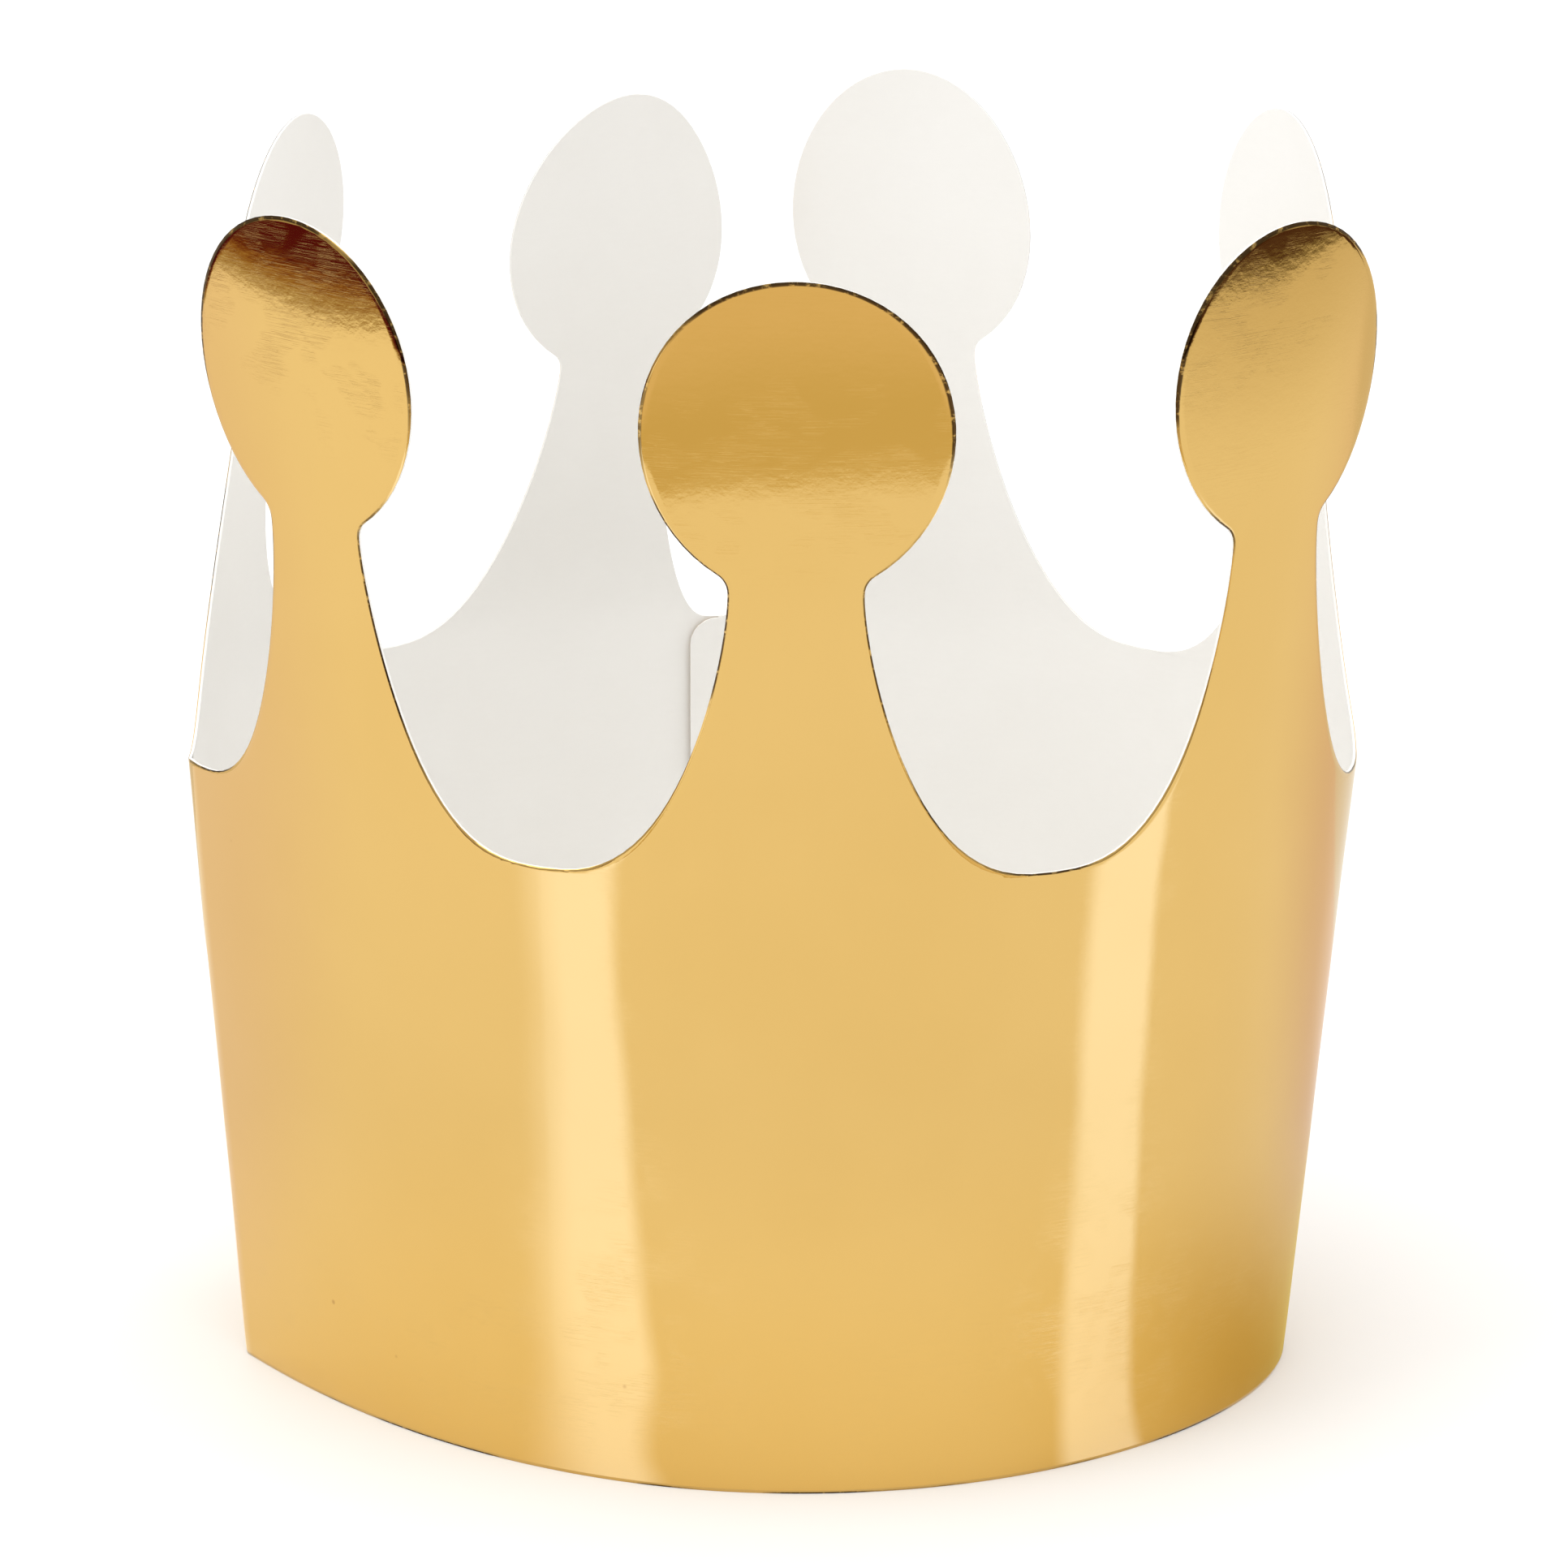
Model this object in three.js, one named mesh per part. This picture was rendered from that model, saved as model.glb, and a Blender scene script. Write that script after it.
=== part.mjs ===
// Crown-shaped party hat: one die-cut strip of foil-faced card, bent into an open
// flared loop and glued at the back.  Millimetres, +Z up, the front faces -Y.
//
// The card is laid out flat first, in blank coordinates: u runs along the bottom rim
// and z is the height above it.  The flat outline is cut into small facets, and every
// facet corner is then carried onto the bent wall, once for each face of the sheet.
import * as THREE from "three";

// ---- the loop of the bottom rim, seen from above ----------------------------------
const LEFT_FOLD = [-52, -2.6];
const RIGHT_BEND = [69.2, 4.7];
const BACK_BEND = [-13.7, 52.1];
// each stretch leaves its first corner and reaches its last one: [handle, heading in degrees]
const FRONT_LEAVES = [105, -59.8];
const FRONT_REACHES = [38.3, 99.6];
const RIGHT_LEAVES = [51.4, 99.6];
const RIGHT_REACHES = [27.7, 205];
const LEFT_LEAVES = [39.9, 205];
const LEFT_REACHES = [39.8, -95];
const FLARE_PER_MM = 0.00145;        // how fast the loop widens with height

// ---- the blank ---------------------------------------------------------------------
const VALLEY_Z = 72.3;               // height of the band between two points
const NECK_Z = 105.9;                // where a point is at its narrowest
const NECK_HALF = 7.2;
const BALL_Z = 123.8;                // centre of the round end of a point
const BALL_R = 17.9;                 // half its height
const BALL_SLIM = 0.92;              // its width as a share of its height
const NECK_FILLET = 2.4;
const FLANK_ACROSS = 2.65;           // superellipse powers of the curved flank
const FLANK_UP = 1.45;
const FRONT_POINT_U = 81.9;          // the middle point's place, measured from the left fold
const SEAM_REACH = 12.9;             // the first point's reach towards the glued seam
const FLAP_CORNER = 3.2;             // cut off the glued flap's top corner

// how each point curls above the valleys: in towards the middle, along the wall, and
// turned about its own upright middle line
const POINTS = [
  { name: "back_left", inward: 0.46, along: 0.04, twist: 0 },
  { name: "side_left", inward: 0.25, along: -0.085, twist: 0.0033 },
  { name: "front_left", inward: -0.01, along: -0.03, twist: -0.0023 },
  { name: "front", inward: -0.073, along: -0.015, twist: 0 },
  { name: "front_right", inward: 0.038, along: -0.02, twist: 0.003 },
  { name: "side_right", inward: 0.106, along: 0.13, twist: 0.0022 },
  { name: "back_right", inward: 0.207, along: 0.045, twist: 0 },
];
const FRONT_INDEX = 3;
const CURL_START = 17.3;              // the curl grows in over about this height
const CURL_SPAN = 12;                // a point curls as one, square to this much of the wall

// ---- the sheet ---------------------------------------------------------------------
const BOARD_T = 0.4;
const FOIL_T = 0.06;
const FOIL_GAP = 0.03;
const FOIL_RIM_INSET = 0.3;          // the foil stops this far above the cut rim
const TAPE_T = 0.1;
const TAPE_GAP = 0.12;
const TAPE_EDGE = 1.2;               // how far the tape stays back from the flap's sides
const TAPE_FROM_RIM = 2;
const FLAP_EASE = 14;                // length over which the flap steps inside the wall

// ---- facets ------------------------------------------------------------------------
const TANGENT_SPAN = 0.4;
const COLUMNS = 10;                  // facet columns across one point
const OVERLAP_COLUMNS = 3;
const BAND_ROW = 36;
const FLANK_STEPS = 8;
const FILLET_STEPS = 2;
const BALL_STEPS = 9;

const WHITE = new THREE.MeshStandardMaterial({ name: "white_board", color: 0xf1eee8, roughness: 0.85 });
const GOLD = new THREE.MeshStandardMaterial({
  name: "gold_foil", color: 0xe8c173, roughness: 0.16, metalness: 1,
});
const CLEAR_TAPE = new THREE.MeshStandardMaterial({ name: "tape", color: 0xf3dcd2, roughness: 0.6 });

// ---- the bent wall -----------------------------------------------------------------
function ahead([x, y], [handle, heading]) {
  const angle = THREE.MathUtils.degToRad(heading);
  return new THREE.Vector2(x + handle * Math.cos(angle), y + handle * Math.sin(angle));
}

function behind(corner, [handle, heading]) {
  return ahead(corner, [-handle, heading]);
}

function stretch(from, leaves, to, reaches) {
  return new THREE.CubicBezierCurve(
    new THREE.Vector2(...from), ahead(from, leaves), behind(to, reaches), new THREE.Vector2(...to));
}

const rim = new THREE.CurvePath();
rim.add(stretch(LEFT_FOLD, FRONT_LEAVES, RIGHT_BEND, FRONT_REACHES));
rim.add(stretch(RIGHT_BEND, RIGHT_LEAVES, BACK_BEND, RIGHT_REACHES));
rim.add(stretch(BACK_BEND, LEFT_LEAVES, LEFT_FOLD, LEFT_REACHES));
rim.curves.forEach((curve) => { curve.arcLengthDivisions = 400; });

const RIM_LENGTH = rim.getLength();

// the ends overlap by whole facet columns, so the facets of both ends lie face to face
const PITCH = RIM_LENGTH / (POINTS.length - OVERLAP_COLUMNS / COLUMNS);
const OVERLAP = PITCH * (OVERLAP_COLUMNS / COLUMNS);
const BLANK_END_U = FRONT_POINT_U + (POINTS.length - FRONT_INDEX - 0.5) * PITCH;
const BLANK_START_U = FRONT_POINT_U - (FRONT_INDEX + 0.5) * PITCH;

// how far the sheet's middle layer sits inside the wall: only the flap does
const FLAP_INSET = BOARD_T + FOIL_GAP + FOIL_T + TAPE_T + 2 * TAPE_GAP;

function flapInset(u) {
  const clearOfEnd = BLANK_END_U - OVERLAP - 1;
  return FLAP_INSET * THREE.MathUtils.smoothstep(u, clearOfEnd - FLAP_EASE, clearOfEnd);
}

function rimPoint(u) {
  return rim.getPoint(THREE.MathUtils.euclideanModulo(u / RIM_LENGTH, 1));
}

function rimTangent(u, span) {
  return rimPoint(u + span).sub(rimPoint(u - span)).normalize();
}

function outwardOf(tangent) {
  return new THREE.Vector2(tangent.y, -tangent.x);
}

// the corner (u, z) of the blank on the bent wall, a distance out from its middle layer
function onWall(u, z, out) {
  const place = rimPoint(u).multiplyScalar(1 + FLARE_PER_MM * z);
  const nearest = Math.round((u - BLANK_START_U) / PITCH - 0.5);
  const index = THREE.MathUtils.clamp(nearest, 0, POINTS.length - 1);
  const point = POINTS[index];
  const fromMiddle = u - BLANK_START_U - (index + 0.5) * PITCH;
  const rise = Math.max(0, z - VALLEY_Z);
  const curl = (rise * rise) / (rise + CURL_START);
  const curlsAlong = rimTangent(u, CURL_SPAN);
  const turned = point.twist * fromMiddle * curl;
  place.addScaledVector(outwardOf(rimTangent(u, TANGENT_SPAN)), out - flapInset(u) + turned);
  place.addScaledVector(outwardOf(curlsAlong), -point.inward * curl);
  place.addScaledVector(curlsAlong, point.along * curl);
  return new THREE.Vector3(place.x, place.y, z);
}

// ---- the flat blank ----------------------------------------------------------------
// a width on the bent wall is narrower on the rim's scale, because the wall flares
function alongRim(width, z) {
  return width / (1 + FLARE_PER_MM * z);
}

// one point from its valleys up to the top of its ball, as rows of [left, right, z]:
// the reach to each side of its middle, and the height
function pointRows(leftFoot, rightFoot) {
  const rows = [[leftFoot, rightFoot, VALLEY_Z]];
  const neck = alongRim(NECK_HALF, NECK_Z);
  for (let i = 1; i <= FLANK_STEPS; i++) {
    const angle = (Math.PI / 2) * (i / FLANK_STEPS);
    const across = Math.sin(angle) ** (2 / FLANK_ACROSS);
    const up = Math.max(0, Math.cos(angle)) ** (2 / FLANK_UP);
    const [left, right] = [leftFoot, rightFoot].map((foot) => foot - (foot - neck) * across);
    rows.push([left, right, NECK_Z - (NECK_Z - VALLEY_Z) * up]);
  }
  const addSame = (width, z) => {
    const half = alongRim(width * BALL_SLIM, z);
    rows.push([half, half, z]);
  };
  const reach = BALL_R + NECK_FILLET;
  const filletX = NECK_HALF / BALL_SLIM + NECK_FILLET;
  const joint = Math.asin(filletX / reach);
  const filletZ = BALL_Z - reach * Math.cos(joint);
  for (let i = 0; i <= FILLET_STEPS; i++) {
    const turn = (i / FILLET_STEPS) * (Math.PI / 2 - joint);
    addSame(filletX - NECK_FILLET * Math.cos(turn), filletZ + NECK_FILLET * Math.sin(turn));
  }
  for (let i = 1; i <= BALL_STEPS; i++) {
    const angle = (Math.PI - joint) * (1 - i / BALL_STEPS);
    addSame(BALL_R * Math.sin(angle), BALL_Z + BALL_R * Math.cos(angle));
  }
  return rows;
}

// the flap's side edge leans in over its cut corner
function endOfBlank(z) {
  return BLANK_END_U - Math.max(0, FLAP_CORNER - Math.max(0, VALLEY_Z - z));
}

// a row of corners [u, z] between two ends
function cornerRow(left, right, z, columns) {
  const end = Math.min(right, endOfBlank(z));
  return Array.from({ length: columns + 1 }, (_, i) => [left + (end - left) * (i / columns), z]);
}

// the band under one point, and the point itself, each as rows of corners; the first
// point starts beside the seam, and a level ledge of the band leads up to its foot
function pointGrids(index, rimZ) {
  const left = BLANK_START_U + index * PITCH;
  const centre = left + PITCH / 2;
  const ledgeColumns = index === 0 ? OVERLAP_COLUMNS : 0;
  const reach = index === 0 ? SEAM_REACH : PITCH / 2;
  const band = [rimZ, BAND_ROW, VALLEY_Z - FLAP_CORNER].map((z) =>
    cornerRow(left, left + PITCH, z, COLUMNS));
  const ledge = cornerRow(left, centre - reach, VALLEY_Z, OVERLAP_COLUMNS);
  const point = pointRows(reach, PITCH / 2).map(([toLeft, toRight, z]) =>
    cornerRow(centre - toLeft, centre + toRight, z, COLUMNS - ledgeColumns));
  band.push([...ledge.slice(0, ledgeColumns), ...point[0]]);
  return [band, point];
}

// ---- facets ------------------------------------------------------------------------
// a closed sheet over grids of blank corners, between two distances from the wall
function sheetGeometry(grids, inner, outer) {
  const corners = [];
  const numbers = new Map();
  const number = (corner) => {
    const key = corner.map((value) => value.toFixed(4)).join();
    if (!numbers.has(key)) {
      numbers.set(key, corners.length);
      corners.push(corner);
    }
    return numbers.get(key);
  };
  const faces = [];
  for (const grid of grids) {
    for (let row = 1; row < grid.length; row++) {
      for (let i = 1; i < grid[row].length; i++) {
        const low = [grid[row - 1][i - 1], grid[row - 1][i]].map(number);
        const high = [grid[row][i - 1], grid[row][i]].map(number);
        faces.push([low[0], low[1], high[1]], [low[0], high[1], high[0]]);
      }
    }
  }
  const whole = faces.filter(([a, b, c]) => a !== b && b !== c && c !== a);
  const edges = new Set(whole.flatMap(([a, b, c]) => [`${a},${b}`, `${b},${c}`, `${c},${a}`]));
  const count = corners.length;
  const indices = [];
  for (const [a, b, c] of whole) {
    indices.push(a, b, c, count + a, count + c, count + b);
  }
  for (const edge of edges) {
    const [a, b] = edge.split(",").map(Number);
    if (!edges.has(`${b},${a}`)) indices.push(b, a, count + a, b, count + a, count + b);
  }
  const positions = [outer, inner].flatMap((out) =>
    corners.flatMap(([u, z]) => onWall(u, z, out).toArray()));
  const geometry = new THREE.BufferGeometry();
  geometry.setAttribute("position", new THREE.Float32BufferAttribute(positions, 3));
  geometry.setIndex(indices);
  geometry.computeVertexNormals();
  return geometry;
}

// ---- the pieces --------------------------------------------------------------------
function wholeBlank(rimZ) {
  return POINTS.flatMap((_, index) => pointGrids(index, rimZ));
}

function crownBoard() {
  const board = new THREE.Mesh(sheetGeometry(wholeBlank(0), -BOARD_T / 2, BOARD_T / 2), WHITE);
  board.name = "crown_board";
  return board;
}

function goldFoil() {
  const inner = BOARD_T / 2 + FOIL_GAP;
  const foil = new THREE.Mesh(sheetGeometry(wholeBlank(FOIL_RIM_INSET), inner, inner + FOIL_T), GOLD);
  foil.name = "gold_foil";
  return foil;
}

// the tape lies between the outer end's white face and the flap's foil
function seamTape() {
  const left = BLANK_START_U + TAPE_EDGE;
  const right = BLANK_START_U + OVERLAP - TAPE_EDGE;
  const grid = [TAPE_FROM_RIM, VALLEY_Z - FLAP_CORNER].map((z) =>
    cornerRow(left, right, z, OVERLAP_COLUMNS));
  const outer = -BOARD_T / 2 - TAPE_GAP;
  const tape = new THREE.Mesh(sheetGeometry([grid], outer - TAPE_T, outer), CLEAR_TAPE);
  tape.name = "seam_tape";
  return tape;
}

const crown = new THREE.Group();
crown.add(crownBoard(), goldFoil(), seamTape());

// the origin is the middle of the footprint, on the surface that the crown stands on
const box = new THREE.Box3().setFromObject(crown);
const middle = box.getCenter(new THREE.Vector3());
crown.position.set(-middle.x, -middle.y, -box.min.z);

export default crown;
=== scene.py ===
"""Crown-shaped party hat: one strip of gold foil card, white inside, bent into a loop.

The card is laid out flat first, in millimetres: u runs along the bottom rim and z is the
height above it.  Each point of the flat card is then carried onto the bent wall, and the
meshes are made in metres, in the frame's own axes: +Z up, the front faces -Y.
"""
import math

import bpy
import numpy as np
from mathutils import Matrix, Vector


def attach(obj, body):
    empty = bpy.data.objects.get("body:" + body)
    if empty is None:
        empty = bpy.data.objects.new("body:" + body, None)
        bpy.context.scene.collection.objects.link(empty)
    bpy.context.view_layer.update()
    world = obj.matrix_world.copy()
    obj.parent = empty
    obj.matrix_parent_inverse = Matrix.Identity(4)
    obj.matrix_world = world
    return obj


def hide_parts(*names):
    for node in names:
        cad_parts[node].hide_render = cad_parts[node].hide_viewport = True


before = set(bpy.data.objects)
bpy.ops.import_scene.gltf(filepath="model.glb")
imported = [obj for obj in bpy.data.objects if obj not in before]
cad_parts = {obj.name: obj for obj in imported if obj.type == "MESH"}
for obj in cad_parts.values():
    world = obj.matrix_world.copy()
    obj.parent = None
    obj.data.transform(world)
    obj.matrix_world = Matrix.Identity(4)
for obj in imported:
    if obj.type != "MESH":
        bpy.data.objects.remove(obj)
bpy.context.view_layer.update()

MM = 0.001
CARD_UNIT = 100.0   # millimetres in one unit of the card's own coordinates

# ---- the loop of the bottom rim, as in the CAD part ---------------------------------
LEFT_FOLD = (-52.0, -2.6)
RIGHT_BEND = (69.2, 4.7)
BACK_BEND = (-13.7, 52.1)
STRETCHES = [   # from, (handle, heading in degrees), to, (handle, heading)
    (LEFT_FOLD, (105.0, -59.8), RIGHT_BEND, (38.3, 99.6)),
    (RIGHT_BEND, (51.4, 99.6), BACK_BEND, (27.7, 205.0)),
    (BACK_BEND, (39.9, 205.0), LEFT_FOLD, (39.8, -95.0)),
]
FLARE_PER_MM = 0.00145   # share by which the loop widens for each millimetre of height
CENTRE_SHIFT = (-9.905, 0.875)   # puts the middle of the footprint on the frame's origin
RIM_SAMPLES = 4000
TANGENT_SPAN = 0.3

# ---- the flat card -------------------------------------------------------------------
VALLEY_Z = 72.3
NECK_Z = 105.9
NECK_HALF = 7.2
BALL_Z = 123.8
BALL_R = 17.9
BALL_SLIM = 0.92
NECK_FILLET = 2.4
FLANK_ACROSS = 2.65   # powers of the superellipse that a point's flanks follow
FLANK_UP = 1.45
FRONT_POINT_U = 81.9
SEAM_REACH = 12.9   # how far the first point's foot reaches towards the seam
FLAP_CORNER = 3.2
CURLS = [   # in towards the middle, along the wall, turned about the point's own middle line
    (0.46, 0.04, 0.0), (0.25, -0.085, 0.0033), (-0.01, -0.03, -0.0023), (-0.073, -0.015, 0.0),
    (0.038, -0.02, 0.003), (0.106, 0.13, 0.0022), (0.207, 0.045, 0.0),
]
FRONT_INDEX = 3
LAST_INDEX = len(CURLS) - 1
CURL_START = 17.3
CURL_SPAN = 12.0
OVERLAP_SHARE = 0.3   # of a point's pitch, by which the two ends overlap
BOARD_T = 0.4
FOIL_T = 0.05
SKIN_GAP = 0.004
FLAP_INSET = 0.83   # the flap steps in by this, over this length, before the overlap starts
FLAP_EASE = 14.0
FLAP_CLEAR = 1.0

# ---- the die's rolled edge and the card's faint unevenness ------------------------------
EDGE_ROLL = 0.11
EDGE_ROLL_WIDTH = 0.34
WAVE_SEED = 11
WAVE_SIZES = [(0.05, 46), (0.035, 31), (0.016, 19), (0.007, 11), (0.004, 7.3), (0.0022, 4.7)] * 2
WAVE_SHARE = 0.5
CALM_AT_NECK = 0.85

# ---- how fine the meshes are ----------------------------------------------------------
COLUMNS = 44
LEDGE_COLUMNS = 10
EDGE_STEPS = (0.0, 0.12, 0.3)   # rows and columns beside a cut edge
BAND_ROWS = 26
FLAP_CORNER_ROWS = 6
FLANK_ROWS = 26
FILLET_ROWS = 6
BALL_ROWS = 26
TOP_ANGLE = 0.04
MERGE_PER_MM = 2000
DISTANCE_CHUNK = 2000
SHARP_ANGLE = math.radians(38)


# ---- the bent wall ---------------------------------------------------------------------
def bezier(start, leaves, end, reaches):
    """Points of one smooth stretch, from its ends and the handle and heading at each."""
    def step(corner, handle, heading):
        angle = math.radians(heading)
        return np.array(corner) + handle * np.array([math.cos(angle), math.sin(angle)])

    p = [np.array(start), step(start, *leaves), step(end, -reaches[0], reaches[1]), np.array(end)]
    t = np.linspace(0, 1, RIM_SAMPLES)[:, None]
    return ((1 - t) ** 3) * p[0] + 3 * t * (1 - t) ** 2 * p[1] + 3 * t * t * (1 - t) * p[2] + t ** 3 * p[3]


RIM = np.concatenate([bezier(*stretch)[min(i, 1):] for i, stretch in enumerate(STRETCHES)])
RIM_U = np.concatenate([[0], np.cumsum(np.linalg.norm(np.diff(RIM, axis=0), axis=1))])
RIM_LENGTH = RIM_U[-1]
PITCH = RIM_LENGTH / (len(CURLS) - OVERLAP_SHARE)
OVERLAP = PITCH * OVERLAP_SHARE
START_U = FRONT_POINT_U - (FRONT_INDEX + 0.5) * PITCH
END_U = START_U + len(CURLS) * PITCH
FLAP_INSIDE_U = END_U - OVERLAP - FLAP_CLEAR


def rim_point(u):
    u = np.mod(u, RIM_LENGTH)
    return np.stack([np.interp(u, RIM_U, RIM[:, 0]), np.interp(u, RIM_U, RIM[:, 1])], -1)


def rim_frame(u, span):
    """The rim's direction over a span each way, and the direction out from it."""
    tangent = rim_point(u + span) - rim_point(u - span)
    tangent /= np.linalg.norm(tangent, axis=-1, keepdims=True)
    return tangent, np.stack([tangent[..., 1], -tangent[..., 0]], -1)


def smoothstep(x, low, high):
    t = np.clip((x - low) / (high - low), 0, 1)
    return t * t * (3 - 2 * t)


def draw_waves():
    """Amount, length, direction and phase of each wave in the card."""
    rng = np.random.default_rng(WAVE_SEED)
    return [(amount, length, rng.uniform(0, 2 * math.pi), rng.uniform(0, 2 * math.pi))
            for amount, length in WAVE_SIZES]


WAVES = draw_waves()


def waviness(u, z):
    """The card's faint unevenness, in millimetres out from its true wall."""
    total = np.zeros_like(u)
    for amount, length, turn, phase in WAVES:
        total += amount * np.sin(2 * math.pi / length * (u * math.cos(turn) + z * math.sin(turn)) + phase)
    return WAVE_SHARE * total * (1 - CALM_AT_NECK * smoothstep(z, VALLEY_Z, NECK_Z))


def on_wall(u, z, out):
    """Points of the flat card on the bent wall, a distance out from its middle layer."""
    outward = rim_frame(u, TANGENT_SPAN)[1]
    curls_along, curls_out = rim_frame(u, CURL_SPAN)
    index = np.clip(np.round((u - START_U) / PITCH - 0.5), 0, LAST_INDEX).astype(int)
    inward, along, twist = np.moveaxis(np.array(CURLS)[index], -1, 0)
    from_middle = u - START_U - (index + 0.5) * PITCH
    rise = np.maximum(0, z - VALLEY_Z)
    curl = rise * rise / (rise + CURL_START)
    inset = FLAP_INSET * smoothstep(u, FLAP_INSIDE_U - FLAP_EASE, FLAP_INSIDE_U)
    place = rim_point(u) * (1 + FLARE_PER_MM * z)[..., None]
    place = place + outward * (out - inset + twist * from_middle * curl + waviness(u, z))[..., None]
    place = place + curls_along * (along * curl)[..., None] - curls_out * (inward * curl)[..., None]
    return np.stack([place[..., 0] + CENTRE_SHIFT[0], place[..., 1] + CENTRE_SHIFT[1], z], -1) * MM


# ---- the flat card as rows of corners ---------------------------------------------------
def along_rim(width, z):
    """A width of the flared wall, measured down at the rim."""
    return width / (1 + FLARE_PER_MM * z)


def spread(left, right, columns):
    """Column places between two ends, close together beside both ends."""
    width = right - left
    near = np.array(EDGE_STEPS) * min(1.0, width / 4)
    inside = np.linspace(left + near[-1], right - near[-1], columns - 2 * len(near) + 3)
    return np.concatenate([left + near[:-1], inside, right - near[-2::-1]])


def card_end(index, right, z):
    """Where a point's part of the card ends: the last one stops at the flap's rounded corner."""
    if index != LAST_INDEX:
        return right
    down = np.clip(z - (VALLEY_Z - FLAP_CORNER), 0, FLAP_CORNER)
    return min(right, END_U - FLAP_CORNER + math.sqrt(max(0.0, FLAP_CORNER ** 2 - down ** 2)))


def point_rows(left_reach, right_reach):
    """One point from its foot to the top of its ball: [reach left, reach right, height]."""
    rows = [[left_reach, right_reach, VALLEY_Z]]
    neck = along_rim(NECK_HALF, NECK_Z)
    for i in range(1, FLANK_ROWS + 1):
        angle = (math.pi / 2) * (i / FLANK_ROWS)
        across = math.sin(angle) ** (2 / FLANK_ACROSS)
        up = max(0.0, math.cos(angle)) ** (2 / FLANK_UP)
        rows.append([left_reach - (left_reach - neck) * across, right_reach - (right_reach - neck) * across,
                     NECK_Z - (NECK_Z - VALLEY_Z) * up])
    reach = BALL_R + NECK_FILLET
    fillet_x = NECK_HALF / BALL_SLIM + NECK_FILLET
    joint = math.asin(fillet_x / reach)
    fillet_z = BALL_Z - reach * math.cos(joint)
    for i in range(FILLET_ROWS + 1):
        turn = (i / FILLET_ROWS) * (math.pi / 2 - joint)
        z = fillet_z + NECK_FILLET * math.sin(turn)
        half = along_rim(BALL_SLIM * (fillet_x - NECK_FILLET * math.cos(turn)), z)
        rows.append([half, half, z])
    last = math.acos(1 - EDGE_STEPS[2] / BALL_R)
    angles = [math.pi - joint + (last - math.pi + joint) * i / BALL_ROWS for i in range(1, BALL_ROWS + 1)]
    angles += [math.acos(1 - EDGE_STEPS[1] / BALL_R), TOP_ANGLE, 0.0]
    for angle in angles:
        z = BALL_Z + BALL_R * math.cos(angle)
        half = along_rim(BALL_SLIM * BALL_R * math.sin(angle), z)
        rows.append([half, half, z])
    return rows


def band_heights():
    """Heights of the rows from the rim up to the valleys."""
    turns = np.linspace(0, math.pi / 2, FLAP_CORNER_ROWS + 1)[:-1]
    corner = [round(VALLEY_Z - FLAP_CORNER + FLAP_CORNER * math.sin(turn), 6) for turn in turns]
    high = sorted(set(corner + [VALLEY_Z - step for step in EDGE_STEPS[1:]]))
    middle = np.linspace(EDGE_STEPS[-1], high[0], BAND_ROWS)[1:-1]
    return [*EDGE_STEPS, *middle, *high, VALLEY_Z]


def level(u, z):
    """One row of the card's corners, all at the same height."""
    return np.stack([u, np.full_like(u, z)], -1)


def card_grids():
    """The whole flat card as grids of (u, z) corners: for each point, its band and itself."""
    grids = []
    for index in range(len(CURLS)):
        left = START_U + index * PITCH
        right = left + PITCH
        centre = (left + right) / 2
        reach = SEAM_REACH if index == 0 else PITCH / 2
        band = []
        for z in band_heights():
            u = spread(centre - reach, card_end(index, right, z), COLUMNS)
            if index == 0:
                u = np.concatenate([spread(left, centre - reach, LEDGE_COLUMNS)[:-1], u])
            band.append(level(u, z))
        point = []
        for to_left, to_right, z in point_rows(reach, PITCH / 2):
            point.append(level(spread(centre - to_left, card_end(index, centre + to_right, z), COLUMNS), z))
        grids += [np.array(band), np.array(point)]
    return grids


def card_faces(grids):
    """Merged corners (n, 2), quads and triangles, and the outline's edges."""
    corners = np.concatenate([g.reshape(-1, 2) for g in grids])
    keys = np.round(corners * MERGE_PER_MM).astype(np.int64)
    _, first, number = np.unique(keys, axis=0, return_index=True, return_inverse=True)
    number = number.reshape(-1)
    faces = []
    offset = 0
    for g in grids:
        rows, columns = g.shape[:2]
        ids = number[offset:offset + rows * columns].reshape(rows, columns)
        offset += rows * columns
        quads = np.stack([ids[:-1, :-1], ids[:-1, 1:], ids[1:, 1:], ids[1:, :-1]], -1).reshape(-1, 4)
        for quad in quads.tolist():
            face = list(dict.fromkeys(quad))
            if len(face) > 2:
                faces.append(face)
    edges = set()
    for face in faces:
        edges.update(zip(face, face[1:] + face[:1]))
    outline = [(a, b) for a, b in edges if (b, a) not in edges]
    return corners[first], faces, sorted(outline)


def edge_distance(corners, outline):
    """How far each corner of the flat card is from its cut outline, in millimetres."""
    flat = corners * np.stack([1 + FLARE_PER_MM * corners[:, 1], np.ones(len(corners))], -1)
    starts = flat[[a for a, _ in outline]]
    steps = flat[[b for _, b in outline]] - starts
    lengths = (steps * steps).sum(-1)
    result = np.empty(len(flat))
    for i in range(0, len(flat), DISTANCE_CHUNK):
        away = flat[i:i + DISTANCE_CHUNK, None, :] - starts[None]
        t = np.clip((away * steps[None]).sum(-1) / lengths[None], 0, 1)
        result[i:i + DISTANCE_CHUNK] = np.sqrt(((away - t[..., None] * steps[None]) ** 2).sum(-1).min(-1))
    return result


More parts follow.
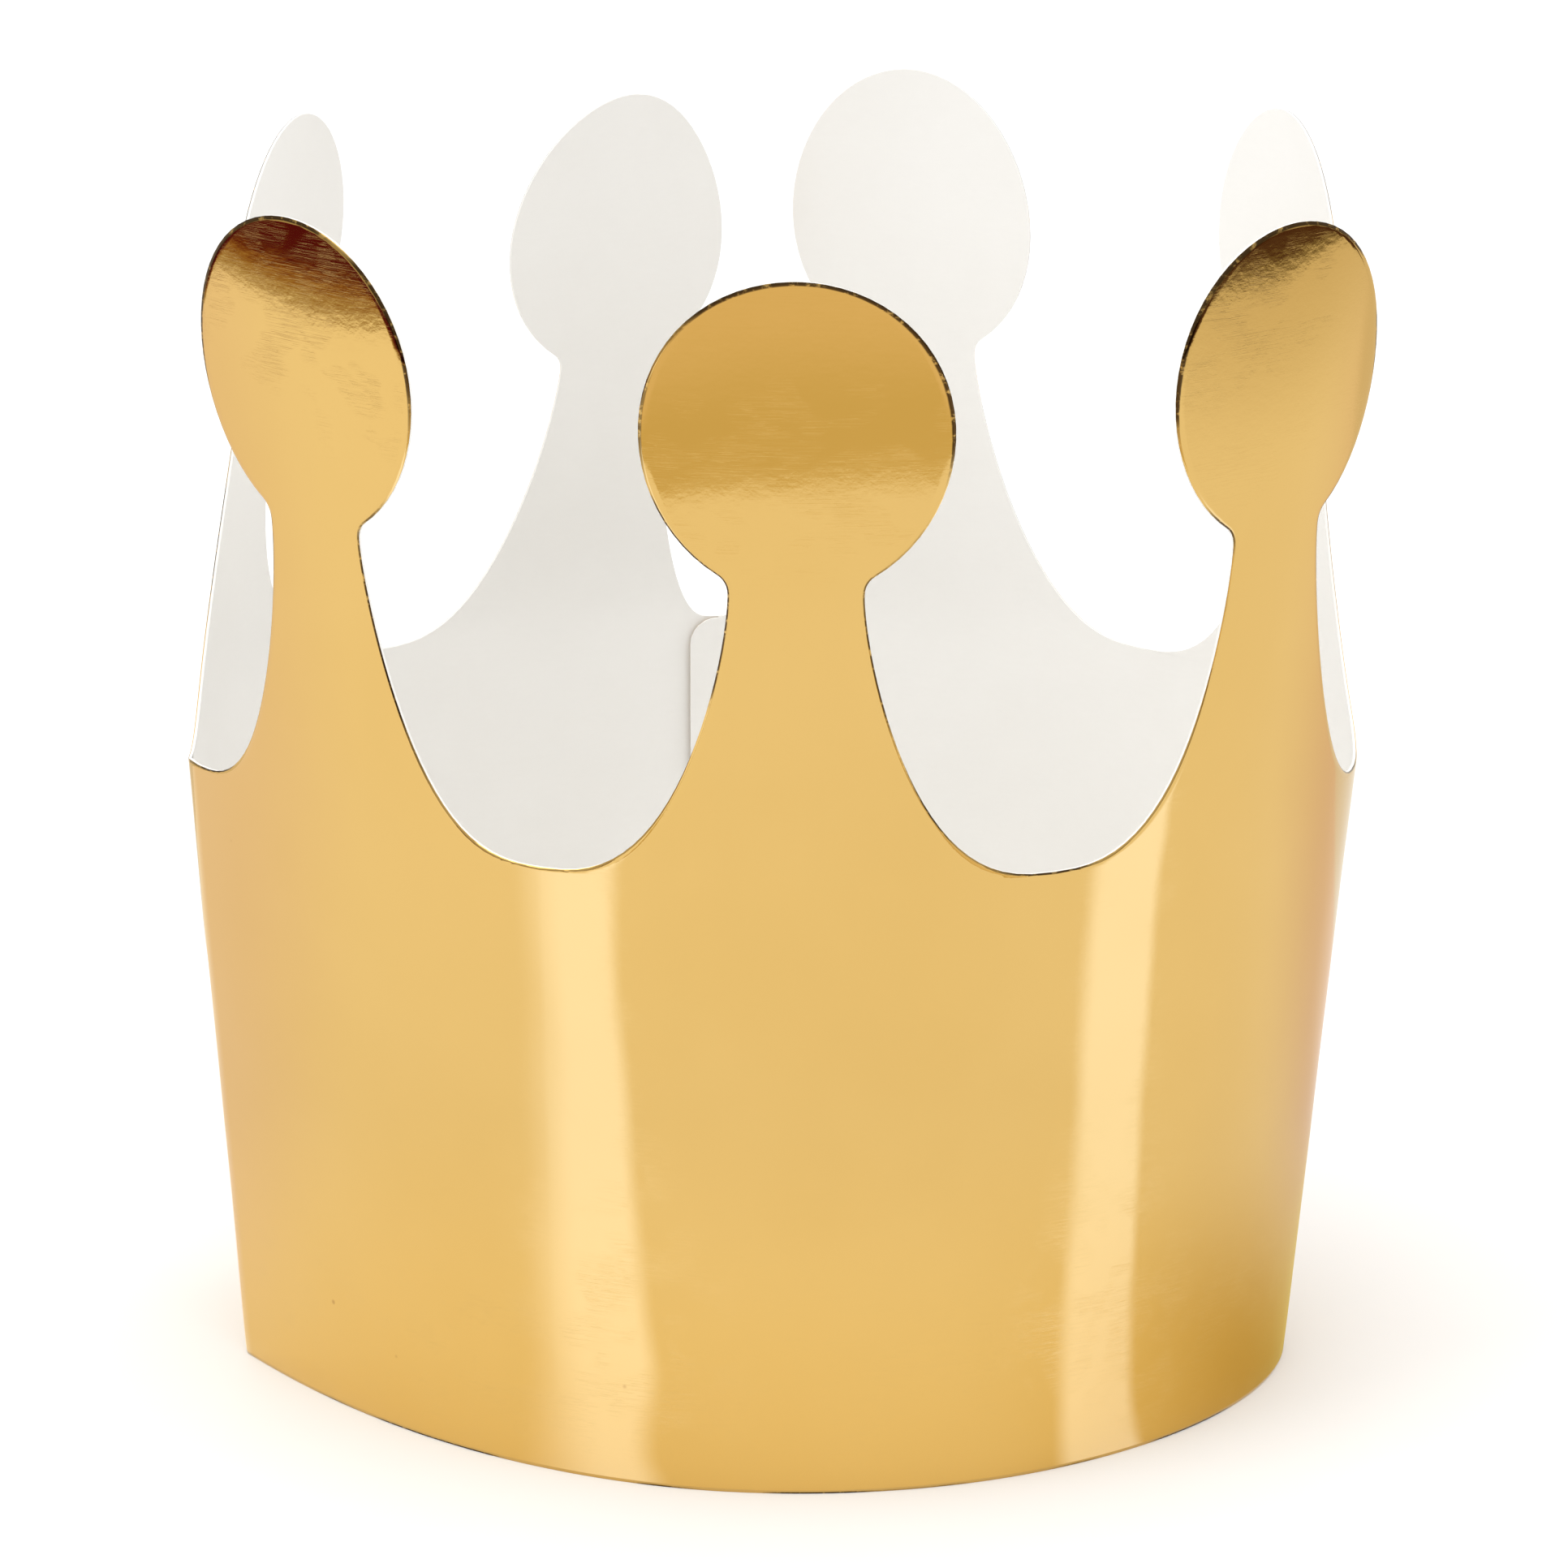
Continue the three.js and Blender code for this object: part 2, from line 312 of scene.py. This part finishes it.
def sheet_mesh(name, card, inner, outer, inner_rolls):
    """A closed sheet between two distances from the wall; the die rolls its outer edge in."""
    corners, faces, outline, distance = card
    u, z = corners.T
    roll = EDGE_ROLL * np.clip(1 - distance / EDGE_ROLL_WIDTH, 0, 1) ** 2
    top = on_wall(u, z, outer - roll)
    bottom = on_wall(u, z, inner - roll if inner_rolls else inner)
    count = len(corners)
    all_faces = faces + [[i + count for i in reversed(face)] for face in faces]
    all_faces += [[b, a, a + count, b + count] for a, b in outline]
    mesh = bpy.data.meshes.new(name)
    mesh.from_pydata(np.concatenate([top, bottom]).tolist(), [], all_faces)
    uv = mesh.uv_layers.new(name="card")
    loop_corner = np.empty(len(mesh.loops), np.int32)
    mesh.loops.foreach_get("vertex_index", loop_corner)
    flat = corners / CARD_UNIT
    uv.data.foreach_set("uv", flat[loop_corner % count].astype(np.float32).ravel())
    mesh.shade_smooth()
    mesh.set_sharp_from_angle(angle=SHARP_ANGLE)
    edge = mesh.attributes.new("edge_mm", "FLOAT", "POINT")
    edge.data.foreach_set("value", np.tile(distance, 2).astype(np.float32))
    obj = bpy.data.objects.new(name, mesh)
    bpy.context.scene.collection.objects.link(obj)
    return obj


# ---- materials.  Noise scales count features in one card unit, and heights are in it too.
GOLD_TONES = ((0.635, 0.416, 0.137, 1), (0.623, 0.404, 0.129, 1))
GOLD_CLOUD_SCALE = 2.5
GOLD_CLOUD_EDGES = (0.35, 0.65)
GOLD_ROUGHNESS = 0.025
GOLD_ROUGHNESS_VARIES = 0.035
GOLD_ROUGHNESS_SCALE = 22.0
SCRATCHED_ROUGHNESS = 0.18
FOIL_SPECKS = {"scale": 9.0, "core": 0.018, "rim": 0.040, "channel": 0, "rarity": 0.72}
FOIL_SPECK_TONE = (0.30, 0.13, 0.04, 1)
FOIL_SPECK_SHARE = 0.45
# painted shade: a dark line along the cut edge, in place of the dark reflection of the rolled edge
PAINTED_EDGE_SHADE_TONE = (0.035, 0.016, 0.008, 1)
PAINTED_EDGE_SHADE_SHARE = 0.93
PAINTED_EDGE_SHADE_SCALE = 4.2
PAINTED_EDGE_SHADE_ON_WALL = (0.47, 0.56)
PAINTED_EDGE_SHADE_ON_BALL = (0.36, 0.42)
BALL_HEIGHTS = (1.16, 1.26)
PAINTED_EDGE_SHADE_MM = 0.22
PAINTED_EDGE_SHADE_EXTRA_MM = 0.50
PAINTED_EDGE_SHADE_FADES = (0.70, 1.10)
GRIT_SCALE = 90.0
GRIT_EDGES = (0.34, 0.48)
LINE_LEFT_IN_GRIT = 0.25
SCRATCHES = ((0.35, 9.1), (-0.8, 13.7), (1.4, 18.9))   # turned by, scale of the patches
SCRATCH_SCALE = 10.0
SCRATCH_STRETCH = (1.2, 60.0, 1.0)
SCRATCH_HALF_WIDTH = 0.012
SCRATCH_PATCHES = (0.50, 0.62)
SCRATCHED_UP_TO = (0.10, 0.50)
SCRATCHES_LEFT_ABOVE = 0.12
CRINKLE_SCALE = 75.0
FIBRE_BUMP_SCALE = 190.0
FIBRE_BUMP = 0.30
SCRATCH_BUMP = -1.0
SPECK_BUMP = 1.6
FOIL_BUMP_STRENGTH = 1.0
FOIL_BUMP_M = 0.0000028

BOARD_TONES = ((0.900, 0.882, 0.846, 1), (0.915, 0.899, 0.866, 1))
BOARD_ROUGHNESS = 0.62
BOARD_SPECULAR = 0.25
BOARD_CLOUD_SCALE = 5.0
BOARD_CLOUD_EDGES = (0.3, 0.7)
FIBRE_TONE = (0.70, 0.67, 0.62, 1)
FIBRE_SHARE = 0.08
FIBRE_SCALE = 60.0
FIBRE_STRETCH = (1.0, 3.0, 1.0)
FIBRE_TURN = 0.2
BOARD_SPECKS = {"scale": 7.0, "core": 0.010, "rim": 0.022, "channel": 1, "rarity": 0.75}
BOARD_SPECK_TONE = (0.40, 0.36, 0.30, 1)
BOARD_SPECK_SHARE = 0.25
BOARD_GRAIN_SCALE = 120.0
BOARD_GRAIN_BUMP = 0.5
BOARD_BUMP_STRENGTH = 0.5
BOARD_BUMP_M = 0.00002

TAPE_TONES = ((0.80, 0.66, 0.60, 1), (0.88, 0.76, 0.70, 1))
TAPE_GRAIN_PER_M = 900.0
TAPE_ROUGHNESS = 0.45
TAPE_ROUGHNESS_VARIES = 0.2


class Nodes:
    """Short-hand for one material's nodes."""

    def __init__(self, name):
        self.material = bpy.data.materials.new(name)
        self.material.use_nodes = True
        self.tree = self.material.node_tree
        self.tree.nodes.clear()
        self.out = self.add("ShaderNodeOutputMaterial")

    def add(self, kind, **values):
        """A node, with each value put on its property or its input of that name."""
        node = self.tree.nodes.new(kind)
        for key, value in values.items():
            if hasattr(node, key):
                setattr(node, key, value)
            else:
                node.inputs[key.replace("_", " ")].default_value = value
        return node

    def link(self, source, target):
        self.tree.links.new(source, target)

    def feed(self, value, socket):
        """Gives a socket a plain value, or the output of another node."""
        if isinstance(value, (int, float, tuple)):
            socket.default_value = value
        else:
            self.link(value, socket)

    def principled(self, **values):
        """The material's own Principled shader."""
        shader = self.add("ShaderNodeBsdfPrincipled", **values)
        self.link(shader.outputs[0], self.out.inputs[0])
        return shader

    def card_place(self):
        """Where on the flat card a spot is."""
        return self.add("ShaderNodeUVMap", uv_map="card").outputs[0]

    def object_place(self):
        return self.add("ShaderNodeTexCoord").outputs["Object"]

    def axes(self, vector):
        node = self.add("ShaderNodeSeparateXYZ")
        self.link(vector, node.inputs[0])
        return node.outputs

    def math(self, operation, a, b=0.0, c=0.0):
        node = self.add("ShaderNodeMath", operation=operation)
        for value, socket in zip((a, b, c), node.inputs):
            self.feed(value, socket)
        return node.outputs[0]

    def mix(self, share, a, b):
        """A colour between two others."""
        node = self.add("ShaderNodeMix", data_type="RGBA")
        for value, socket in zip((share, a, b), (node.inputs[0], node.inputs[6], node.inputs[7])):
            self.feed(value, socket)
        return node.outputs[2]

    def noise(self, vector, scale, detail=2.0, roughness=0.5, stretch=None, turn=0.0):
        if stretch:
            mapping = self.add("ShaderNodeMapping", Scale=stretch, Rotation=(0.0, 0.0, turn))
            self.link(vector, mapping.inputs["Vector"])
            vector = mapping.outputs[0]
        node = self.add("ShaderNodeTexNoise", Scale=scale, Detail=detail, Roughness=roughness)
        self.link(vector, node.inputs["Vector"])
        return node.outputs[0]

    def ramp(self, value, low, high, start=0.0, end=1.0):
        """A smooth change from start to end while the value goes from low to high."""
        node = self.add("ShaderNodeMapRange", clamp=True, interpolation_type="SMOOTHSTEP")
        for setting, socket in zip((value, low, high, start, end), node.inputs):
            self.feed(setting, socket)
        return node.outputs[0]

    def specks(self, place, scale, core, rim, channel, rarity):
        """Round specks, in those cells whose random colour is above the rarity."""
        cells = self.add("ShaderNodeTexVoronoi", Scale=scale, Randomness=1.0)
        self.link(place, cells.inputs["Vector"])
        chance = self.add("ShaderNodeSeparateColor")
        self.link(cells.outputs["Color"], chance.inputs[0])
        dot = self.ramp(cells.outputs["Distance"], core, rim, 1.0, 0.0)
        return self.math("MULTIPLY", dot, self.math("GREATER_THAN", chance.outputs[channel], rarity))

    def bump(self, shader, height, strength, distance):
        node = self.add("ShaderNodeBump", Strength=strength, Distance=distance)
        self.link(height, node.inputs["Height"])
        self.link(node.outputs[0], shader.inputs["Normal"])


def painted_edge_shade(n, uv, card_z):
    """A painted shade along parts of the cut edge, standing in for the dark reflection of the rolled edge;
    wider on the balls.
    """
    edge = n.add("ShaderNodeAttribute", attribute_name="edge_mm").outputs["Fac"]
    along = n.noise(uv, PAINTED_EDGE_SHADE_SCALE, detail=1.5)
    grit = n.noise(uv, GRIT_SCALE, detail=3.0, roughness=0.7)
    on_ball = n.ramp(card_z, *BALL_HEIGHTS)
    ball_line = n.math("MULTIPLY", n.ramp(along, *PAINTED_EDGE_SHADE_ON_BALL), on_ball)
    where = n.math("MAXIMUM", n.ramp(along, *PAINTED_EDGE_SHADE_ON_WALL), ball_line)
    reach = n.math("MULTIPLY_ADD", n.math("MULTIPLY", on_ball, along), PAINTED_EDGE_SHADE_EXTRA_MM, PAINTED_EDGE_SHADE_MM)
    line = n.ramp(n.math("DIVIDE", edge, reach), *PAINTED_EDGE_SHADE_FADES, 1.0, 0.0)
    line = n.math("MULTIPLY", line, where)
    return n.math("MULTIPLY", line, n.ramp(grit, *GRIT_EDGES, LINE_LEFT_IN_GRIT, 1.0))


def scratches(n, uv, card_z):
    """Hairline scratches at three angles, in cloudy patches and mostly low down."""
    scratch = 0.0
    for turn, patch_scale in SCRATCHES:
        lines = n.noise(uv, SCRATCH_SCALE, detail=1.0, stretch=SCRATCH_STRETCH, turn=turn)
        from_line = n.math("ABSOLUTE", n.math("SUBTRACT", lines, 0.5))
        thin = n.ramp(from_line, 0.0, SCRATCH_HALF_WIDTH, 1.0, 0.0)
        patch = n.ramp(n.noise(uv, patch_scale, detail=1.0), *SCRATCH_PATCHES)
        scratch = n.math("MAXIMUM", scratch, n.math("MULTIPLY", thin, patch))
    return n.math("MULTIPLY", scratch, n.ramp(card_z, *SCRATCHED_UP_TO, 1.0, SCRATCHES_LEFT_ABOVE))


def gold_material():
    """Metallised film: its tone, specks, painted edge shade, scratches and faint crinkle."""
    n = Nodes("gold_foil")
    shader = n.principled(Metallic=1.0)
    uv = n.card_place()
    card_z = n.axes(uv)[1]
    speck = n.specks(uv, **FOIL_SPECKS)
    line = painted_edge_shade(n, uv, card_z)
    scratch = scratches(n, uv, card_z)

    cloud = n.noise(uv, GOLD_CLOUD_SCALE, detail=3.0)
    base = n.mix(n.ramp(cloud, *GOLD_CLOUD_EDGES), *GOLD_TONES)
    base = n.mix(n.math("MULTIPLY", speck, FOIL_SPECK_SHARE), base, FOIL_SPECK_TONE)
    # the painted edge shade darkens the base colour along the cut edge
    base = n.mix(n.math("MULTIPLY", line, PAINTED_EDGE_SHADE_SHARE), base, PAINTED_EDGE_SHADE_TONE)
    n.link(base, shader.inputs["Base Color"])

    rough = n.noise(uv, GOLD_ROUGHNESS_SCALE, detail=4.0, roughness=0.6)
    rough = n.math("MULTIPLY_ADD", rough, GOLD_ROUGHNESS_VARIES, GOLD_ROUGHNESS)
    n.link(n.math("MULTIPLY_ADD", scratch, SCRATCHED_ROUGHNESS, rough), shader.inputs["Roughness"])

    # the film's crinkle, the board's fibre showing through, scratches and specks
    height = n.math("MULTIPLY", n.noise(uv, FIBRE_BUMP_SCALE, detail=3.0, roughness=0.6), FIBRE_BUMP)
    height = n.math("ADD", n.noise(uv, CRINKLE_SCALE, detail=3.0, roughness=0.55), height)
    height = n.math("MULTIPLY_ADD", scratch, SCRATCH_BUMP, height)
    height = n.math("MULTIPLY_ADD", speck, SPECK_BUMP, height)
    n.bump(shader, height, FOIL_BUMP_STRENGTH, FOIL_BUMP_M)
    return n.material


def board_material():
    """Uncoated white board: faint clouds, fibres and a few specks."""
    n = Nodes("white_board")
    shader = n.principled(Roughness=BOARD_ROUGHNESS, Specular_IOR_Level=BOARD_SPECULAR)
    uv = n.card_place()
    fibre = n.noise(uv, FIBRE_SCALE, detail=4.0, roughness=0.6, stretch=FIBRE_STRETCH, turn=FIBRE_TURN)
    speck = n.specks(uv, **BOARD_SPECKS)
    cloud = n.noise(uv, BOARD_CLOUD_SCALE, detail=4.0)
    base = n.mix(n.ramp(cloud, *BOARD_CLOUD_EDGES), *BOARD_TONES)
    base = n.mix(n.math("MULTIPLY", fibre, FIBRE_SHARE), base, FIBRE_TONE)
    base = n.mix(n.math("MULTIPLY", speck, BOARD_SPECK_SHARE), base, BOARD_SPECK_TONE)
    n.link(base, shader.inputs["Base Color"])
    grain = n.noise(uv, BOARD_GRAIN_SCALE, detail=3.0)
    height = n.math("MULTIPLY_ADD", grain, BOARD_GRAIN_BUMP, fibre)
    n.bump(shader, height, BOARD_BUMP_STRENGTH, BOARD_BUMP_M)
    return n.material


def tape_material():
    """Pale adhesive tape with a fine grain."""
    n = Nodes("seam_tape")
    shader = n.principled()
    grain = n.noise(n.object_place(), TAPE_GRAIN_PER_M, detail=3.0)
    n.link(n.mix(grain, *TAPE_TONES), shader.inputs["Base Color"])
    rough = n.math("MULTIPLY_ADD", grain, TAPE_ROUGHNESS_VARIES, TAPE_ROUGHNESS)
    n.link(rough, shader.inputs["Roughness"])
    return n.material


# ---- the pieces ----------------------------------------------------------------------------
corners, faces, outline = card_faces(card_grids())
card = (corners, faces, outline, edge_distance(corners, outline))

board = sheet_mesh("crown_card", card, -BOARD_T / 2, BOARD_T / 2 - SKIN_GAP, False)
skin = sheet_mesh("crown_foil", card, BOARD_T / 2, BOARD_T / 2 + FOIL_T, True)
for piece, node, slot, material in (
    (board, "crown_board", "white_board", board_material()),
    (skin, "gold_foil", "gold_foil", gold_material()),
):
    piece.data.materials.append(material)
    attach(piece, "root")
    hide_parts(node)

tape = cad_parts["seam_tape"]
for tape_slot in tape.material_slots:
    tape_slot.material = tape_material()


# ---- the floor, the sky and the softbox ----------------------------------------------------
GROUND_SIZE = 12.0
FLOOR_TONES = ((0.93, 0.93, 0.93, 1), (0.95, 0.95, 0.95, 1))
FLOOR_GRAIN_PER_M = 40.0
FLOOR_ROUGHNESS = 0.9
SKY_STOPS = ((0.3, 0.68), (0.9, 1.68))   # the direction's upward share, brightness
SOFTBOX_PLACE = (-0.95, -0.55, 0.95)
SOFTBOX_TARGET = (0, 0, 0.08)
SOFTBOX_SIZE = 0.7
SOFTBOX_WATTS = 3.0


def ground(name, z):
    """A wide level square of the stage."""
    half = GROUND_SIZE / 2
    corners = [(-half, -half, z), (half, -half, z), (half, half, z), (-half, half, z)]
    mesh = bpy.data.meshes.new(name)
    mesh.from_pydata(corners, [], [(0, 1, 2, 3)])
    obj = bpy.data.objects.new(name, mesh)
    bpy.context.scene.collection.objects.link(obj)
    return obj


def floor_paint():
    """Matt white with the faintest grain."""
    n = Nodes("floor_paint")
    shader = n.principled(Roughness=FLOOR_ROUGHNESS, Specular_IOR_Level=0.0)
    grain = n.noise(n.object_place(), FLOOR_GRAIN_PER_M, detail=3.0)
    n.link(n.mix(grain, *FLOOR_TONES), shader.inputs["Base Color"])
    return n.material


def studio_sky():
    """Grey at the horizon and bright overhead."""
    world = bpy.data.worlds.new("studio")
    world.use_nodes = True
    sky = world.node_tree
    place = sky.nodes.new("ShaderNodeTexCoord")
    height = sky.nodes.new("ShaderNodeSeparateXYZ")
    tones = sky.nodes.new("ShaderNodeValToRGB")
    sky.links.new(place.outputs["Generated"], height.inputs[0])
    sky.links.new(height.outputs[2], tones.inputs[0])
    for element, (position, bright) in zip(tones.color_ramp.elements, SKY_STOPS):
        element.position = position
        element.color = (bright, bright, bright, 1)
    sky.links.new(tones.outputs[0], sky.nodes["Background"].inputs[0])
    return world


def softbox():
    """The soft light, high on the left and in front."""
    data = bpy.data.lights.new("softbox_left", "AREA")
    data.shape = "SQUARE"
    data.size = SOFTBOX_SIZE
    data.energy = SOFTBOX_WATTS
    obj = bpy.data.objects.new("softbox_left", data)
    obj.location = SOFTBOX_PLACE
    aim = Vector(SOFTBOX_TARGET) - Vector(SOFTBOX_PLACE)
    obj.rotation_euler = aim.to_track_quat("-Z", "Y").to_euler()
    bpy.context.scene.collection.objects.link(obj)


ground("floor", 0.0).data.materials.append(floor_paint())
bpy.context.scene.world = studio_sky()
softbox()

# ---- what the foil mirrors, painted on a card as painted reflections, in metres and degrees: heading 0 is the front and 90 the right -----
TABLE_CARD_Z = 0.0004
BEAM_COLOUR = (0.34, 0.53, 1.30, 1)
BEAM_ENDS = (0.26, 0.34)
BEAMS = (   # apex, rises between, falls between, how much its far side is turned near the rim
    ((0.0407, -0.0054), (-65, -56), (-49.5, -46), 5),
    ((0.0029, -0.0256), (59.5, 64.5), (75, 78), 0),
    ((0.0, 0.01), (-170, -162), (-150, -142), 0),
)
NEAR_RIM = (0.050, 0.080)
WHITE = (1, 1, 1, 1)
# painted shade in the mirrored sheet, behind both sides of the crown
PAINTED_SHADE_TINT = (0.93, 0.88, 0.93, 1)
PAINTED_SHADE_STARTS = (-85, -110)
PAINTED_SHADE_ENDS = (-132, -114)
FAR_PAINTED_SHADE_TINT = (0.81, 0.67, 0.57, 1)
FAR_PAINTED_SHADE_STARTS = (95, 128)
# painted shadow with warm gold bounce on the mirrored sheet, by the rim on the right
PAINTED_SHADOW_BOUNCE_TINT = (0.82, 0.67, 0.21, 1)
PAINTED_SHADOW_BOUNCE_STARTS = (25, 85)
PAINTED_SHADOW_BOUNCE_FADES = (0.052, 0.125)
PAINTED_SHADOW_BOUNCE_AHEAD = 0.10
# painted gold bounce light near the rim, shown only in the foil
SPILL_COLOUR = (1.0, 0.95, 0.5, 1)
SPILL_FADES = (0.050, 0.150)
SPILL_ENDS = (45, 85)
SPILL_STRENGTH = 0.20
SHEET_FRONT = 0.268   # radius of the front edge of the sheet
SHEET_LEFT = (-0.998, 0.06, 0.455)   # outward direction and distance of a side edge
SHEET_RIGHT = (0.992, 0.127, 0.506)
AHEAD_WITHIN = (-0.02, 0.02)
BESIDE_ENDS = (0.12, 0.16)
# painted reflection of the room past the sheet's edges: emission tones that only the foil shows
FAR_PAINTED_ROOM = (0.12, 0.05, (0.6, 0.55, 0.45))
PAINTED_ROOM_FRONT = ((0.0, 0.005, (0.95, 0.83, 0.50)), (0.02, 0.03, (1.10, 0.97, 0.74)))
PAINTED_ROOM_LEFT = (   # from this far past the edge, fading in over this width, a tone
    (0.001, 0.004, (0.62, 0.53, 0.33)), (0.008, 0.006, (0.48, 0.29, 0.09)),
    (0.015, 0.006, (0.28, 0.09, 0.03)), (0.021, 0.006, (0.12, 0.010, 0.018)), FAR_PAINTED_ROOM,
)
PAINTED_ROOM_RIGHT = (
    (-0.10, 0.10, (1.00, 0.95, 0.84)), (0.002, 0.004, (0.30, 0.26, 0.14)),
    (0.008, 0.005, (0.10, 0.045, 0.028)), FAR_PAINTED_ROOM,
)


def radians(angles):
    return [math.radians(angle) for angle in angles]


def beam(n, x, y, radius, apex, rises, falls, near_turn):
    """A light band that runs out from a spot of the rim, between two headings."""
    heading = n.math("ARCTAN2", n.math("SUBTRACT", x, apex[0]), n.math("SUBTRACT", apex[1], y))
    turned = n.math("ADD", heading, n.ramp(radius, *NEAR_RIM, math.radians(near_turn), 0.0))
    return n.math("MULTIPLY", n.ramp(heading, *radians(rises)), n.ramp(turned, *radians(falls), 1.0, 0.0))


def light_bands(n, x, y, radius):
    """All the light bands, which fade out away from the crown."""
    bands = 0.0
    for settings in BEAMS:
        bands = n.math("ADD", bands, beam(n, x, y, radius, *settings))
    return n.math("MULTIPLY", bands, n.ramp(radius, *BEAM_ENDS, 1.0, 0.0))


def painted_sheet_shade(n, heading, radius):
    """Painted shade on the white sheet as the foil mirrors it: duller behind both sides of the crown, and a
    painted shadow with warm gold bounce by the rim on the right.
    """
    painted_shade = n.math("MULTIPLY", n.ramp(heading, *radians(PAINTED_SHADE_STARTS)), n.ramp(heading, *radians(PAINTED_SHADE_ENDS)))
    tint = n.mix(painted_shade, WHITE, PAINTED_SHADE_TINT)
    tint = n.mix(n.ramp(heading, *radians(FAR_PAINTED_SHADE_STARTS)), tint, FAR_PAINTED_SHADE_TINT)
    # painted shadow with gold bounce near the rim
    painted_shadow_bounce = n.math("MULTIPLY", n.ramp(heading, *radians(PAINTED_SHADOW_BOUNCE_STARTS), PAINTED_SHADOW_BOUNCE_AHEAD, 1.0),
                  n.ramp(radius, *PAINTED_SHADOW_BOUNCE_FADES, 1.0, 0.0))
    return n.mix(painted_shadow_bounce, tint, PAINTED_SHADOW_BOUNCE_TINT)


def gold_spill(n, heading, radius):
    """Painted yellow light on the sheet, a painted gold bounce, close to the rim in front and on the left.
    """
    return n.math("MULTIPLY", n.ramp(radius, *SPILL_FADES, SPILL_STRENGTH, 0.0),
                  n.ramp(heading, *radians(SPILL_ENDS), 1.0, 0.0))


def added(n, shader, colour, strength):
    """A shader with light added to it."""
    light = n.add("ShaderNodeEmission", Color=colour)
    n.link(strength, light.inputs["Strength"])
    both = n.add("ShaderNodeAddShader")
    n.link(shader, both.inputs[0])
    n.link(light.outputs[0], both.inputs[1])
    return both.outputs[0]


def past_front(n, x, y, radius):
    """How far past the sheet's front edge a spot is: the edge is an arc about the crown."""
    ahead = n.math("SUBTRACT", n.math("MULTIPLY", y, -1.0), n.math("ABSOLUTE", x))
    return n.math("SUBTRACT", n.math("MULTIPLY", radius, n.ramp(ahead, *AHEAD_WITHIN)), SHEET_FRONT)


def past_side(n, x, y, side_x, side_y, distance):
    """How far past a side edge of the sheet a spot is, and nothing behind the crown."""
    out = n.math("MULTIPLY_ADD", x, side_x, n.math("MULTIPLY", y, side_y))
    return n.math("MULTIPLY", n.math("SUBTRACT", out, distance), n.ramp(y, *BESIDE_ENDS, 1.0, 0.0))


def painted_room_reflection(n, shader, past, tones):
    """Lays painted darker tones, a painted reflection of the room, past one edge of the sheet, each from
    its distance on.
    """
    for start, width, colour in tones:
        tone = n.add("ShaderNodeEmission", Color=(*colour, 1))
        both = n.add("ShaderNodeMixShader")
        n.link(n.ramp(past, start, start + width), both.inputs[0])
        n.link(shader, both.inputs[1])
        n.link(tone.outputs[0], both.inputs[2])
        shader = both.outputs[0]
    return shader


def painted_reflection_card_material():
    """Clear over the white sheet, with painted light bands, painted shade and gold bounce near the rim, and
    a painted room past its edges.
    """
    n = Nodes("painted_reflection_card")
    x, y, _ = n.axes(n.object_place())
    radius = n.math("SQRT", n.math("MULTIPLY_ADD", x, x, n.math("MULTIPLY", y, y)))
    heading = n.math("ARCTAN2", x, n.math("MULTIPLY", y, -1.0))
    clear = n.add("ShaderNodeBsdfTransparent")
    n.link(painted_sheet_shade(n, heading, radius), clear.inputs[0])
    shader = added(n, clear.outputs[0], BEAM_COLOUR, light_bands(n, x, y, radius))
    shader = added(n, shader, SPILL_COLOUR, gold_spill(n, heading, radius))
    shader = painted_room_reflection(n, shader, past_front(n, x, y, radius), PAINTED_ROOM_FRONT)
    shader = painted_room_reflection(n, shader, past_side(n, x, y, *SHEET_LEFT), PAINTED_ROOM_LEFT)
    shader = painted_room_reflection(n, shader, past_side(n, x, y, *SHEET_RIGHT), PAINTED_ROOM_RIGHT)
    n.link(shader, n.out.inputs[0])
    return n.material


# only glossy rays see this card, so it shows nowhere but in reflections: a glowing card of painted
# reflections, no lamp
painted_reflection_card = ground("painted_reflection_card", TABLE_CARD_Z)
painted_reflection_card.data.materials.append(painted_reflection_card_material())
for ray in ("camera", "diffuse", "transmission", "volume_scatter", "shadow"):
    setattr(painted_reflection_card, "visible_" + ray, False)

# ---- the camera, at the photograph's viewing angle ---------------------------------------------
LOOK_AT = Vector((11.06 + CENTRE_SHIFT[0], CENTRE_SHIFT[1], 68.4)) * MM
EYE_AWAY = Vector((-9.29, -917.8, 258.8)) * MM
SENSOR_WIDTH = 36.0
LENS = 189.4
CLIP_START = 0.05

camera_data = bpy.data.cameras.new("camera")
camera_data.sensor_width = SENSOR_WIDTH
camera_data.lens = LENS
camera_data.clip_start = CLIP_START
camera = bpy.data.objects.new("camera", camera_data)
camera.location = LOOK_AT + EYE_AWAY
camera.rotation_euler = (-EYE_AWAY).to_track_quat("-Z", "Y").to_euler()
bpy.context.scene.collection.objects.link(camera)
bpy.context.scene.camera = camera
bpy.context.scene.view_settings.view_transform = "Standard"
